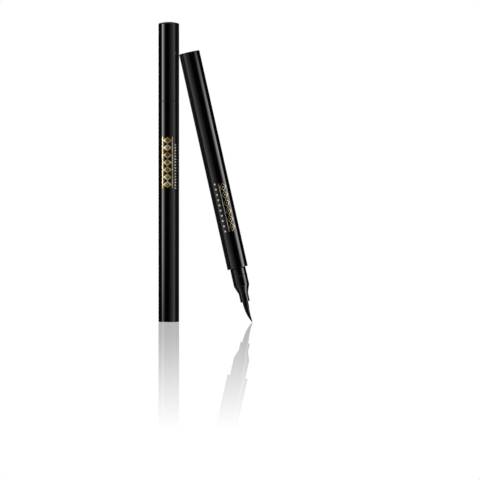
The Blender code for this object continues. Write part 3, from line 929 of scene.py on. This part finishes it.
# White surroundings for the viewer and for the table's mirror. The pens see a glow from the table, below
# them, and a dim one overhead, and next to nothing level with them, where their panels stand.
def makeSurroundings():
    world = bpy.data.worlds.new("studio")
    bpy.context.scene.world = world
    world.use_nodes = True
    tree = world.node_tree
    ray = addNode(tree, "ShaderNodeLightPath")
    seen = addNode(
        tree,
        "ShaderNodeMath",
        {0: ray.outputs["Is Camera Ray"], 1: ray.outputs["Is Singular Ray"]},
        operation="MAXIMUM",
    )
    direction = addNode(tree, "ShaderNodeTexCoord").outputs["Generated"]
    split = addNode(tree, "ShaderNodeSeparateXYZ", {"Vector": direction})
    rise = addNode(tree, "ShaderNodeMapRange", {"Value": split.outputs["Z"], "From Min": -1})
    glow = addNode(tree, "ShaderNodeValToRGB", {"Fac": rise.outputs[0]}, stageLook["glow"])
    strength = addNode(tree, "ShaderNodeMix", {0: seen.outputs[0], 2: glow.outputs[0], 3: 1})
    background = tree.nodes["Background"]
    tree.links.new(strength.outputs[0], background.inputs["Strength"])
    background.inputs["Color"].default_value = (1, 1, 1, 1)


# Soft panels that each pen mirrors. "side" is -1 to the left of an upright pen and 1 to its right, "across"
# is degrees round the pen from the side that faces the viewer, and "along" is the distance from the pen's
# tail, in mm: the last two give how bright the panel is there. The viewer sees only what stands level with
# the pens, so the panels' far ends can be bright for the views from above.
closedStrip = {"name": "Strip", "side": -1,
               "across": [(41.5, 0), (44.5, 0.6), (53, 0.9), (56, 1.4), (66, 4.2), (73, 5), (80, 5),
                          (82.5, 0)],
               "along": [(-70, 1), (-25, 0.27), (-6, 0.27), (10, 0.46), (27, 0.68), (45, 0.85), (100, 1),
                         (190, 1), (260, 0.15)]}
openStrip = {"name": "Strip", "side": -1,
             "across": [(45, 0), (48, 0.4), (53, 0.8), (58, 1.9), (66, 3.5), (72, 4.5), (84, 4.5), (89, 0)],
             "along": [(-18, 0.22), (-9, 0.38), (2, 0.57), (19, 0.79), (36, 0.95), (96, 1)]}
window = {"name": "Window", "side": 1,
          "across": [(0, 0), (10, 0.07), (21, 0.18), (32, 0.26), (44, 0.51), (56, 0.75), (70, 0.88),
                     (73, 0.9), (76.5, 0)],
          "along": [(0, 1), (100, 1)]}
rim = {"name": "Rim", "side": 1,
       "across": [(70, 0), (77, 0.08), (100, 0.04), (145, 0.06)],
       "along": [(0, 1), (100, 1)]}
closedBackdrop = {"name": "Backdrop", "side": 1,
                  "across": [(164, 0), (172, 1), (188, 1), (196, 0)],
                  "along": [(30, 1), (100, 0)]}
openBackdrop = {**closedBackdrop, "along": [(40, 0), (110, 1)]}
# How far every panel stands from its pen's axis, and its ends, measured from the pen's tail
rig = {"distance": 400 * mm, "low": -450 * mm, "high": 600 * mm}


# A panel faces its pen's axis. Both ramps read places from 0 to 1 over the panel, and its middle is at 0.5.
def addPanel(name, look, place, lit):
    angles = [math.radians(degrees) for degrees, _ in look["across"]]
    middle, half = (angles[0] + angles[-1]) / 2, (angles[-1] - angles[0]) / 2
    width, height = 2 * rig["distance"] * math.tan(half), rig["high"] - rig["low"]
    peak = max(brightness for _, brightness in look["across"])
    bpy.ops.object.light_add(type="AREA")
    panel = bpy.context.object
    panel.name = name
    light = panel.data
    light.shape, light.size, light.size_y = "RECTANGLE", width, height
    light.energy = 4 * width * height * peak  # a panel's brightness is its power over four times its area
    outward = Vector((look["side"] * math.sin(middle), -math.cos(middle), 0))
    centre = outward * rig["distance"] + Vector((0, 0, (rig["high"] + rig["low"]) / 2))
    facing = outward.to_track_quat("Z", "Y").to_matrix().to_4x4()
    panel.matrix_world = place @ Matrix.Translation(centre) @ facing
    acrossStops = []
    for angle, (_, brightness) in zip(angles, look["across"]):
        position = 0.5 + look["side"] * math.tan(angle - middle) / (2 * math.tan(half))
        acrossStops.append((position, brightness / peak))
    acrossStops.sort()
    alongStops = [((mm * up - rig["low"]) / height, brightness) for up, brightness in look["along"]]
    light.use_nodes = True
    tree = light.node_tree
    spot = addNode(tree, "ShaderNodeNewGeometry").outputs["Parametric"]
    split = addNode(tree, "ShaderNodeSeparateXYZ", {"Vector": spot})
    across = addNode(tree, "ShaderNodeValToRGB", {"Fac": split.outputs["X"]}, acrossStops)
    along = addNode(tree, "ShaderNodeValToRGB", {"Fac": split.outputs["Y"]}, alongStops)
    shine = addNode(tree, "ShaderNodeMath", {0: across.outputs[0], 1: along.outputs[0]}, operation="MULTIPLY")
    tree.links.new(shine.outputs[0], tree.nodes["Emission"].inputs["Strength"])
    panel.light_linking.receiver_collection = panel.light_linking.blocker_collection = lit


# Each pen has its own panels, which light and are hidden by that pen alone
def lightPen(name, place, pieces, panels):
    lit = bpy.data.collections.new(name + "Lit")
    for piece in pieces:
        lit.objects.link(piece)
    for look in panels:
        addPanel(name + look["name"], look, place, lit)


view = {"place": Vector((33.32, -1872, 38.4)) * mm, "lens": 300, "sensor": 36, "farthest": 100}


# Level camera with a long lens, in front of the pens. Standard view keeps the table's white pure.
def makeCamera():
    bpy.ops.object.camera_add(location=view["place"], rotation=(math.pi / 2, 0, 0))
    camera = bpy.context.object
    camera.data.lens, camera.data.sensor_width = view["lens"], view["sensor"]
    camera.data.clip_end = view["farthest"]
    bpy.context.scene.camera = camera
    bpy.context.scene.view_settings.view_transform = "Standard"


makeFloor()
makeSurroundings()
lightPen("closed", Matrix.Identity(4), closedPieces, [closedStrip, window, rim, closedBackdrop])
lightPen("open", openFront, openPieces, [openStrip, window, rim, openBackdrop])
makeCamera()
print("stage, lights and camera set")
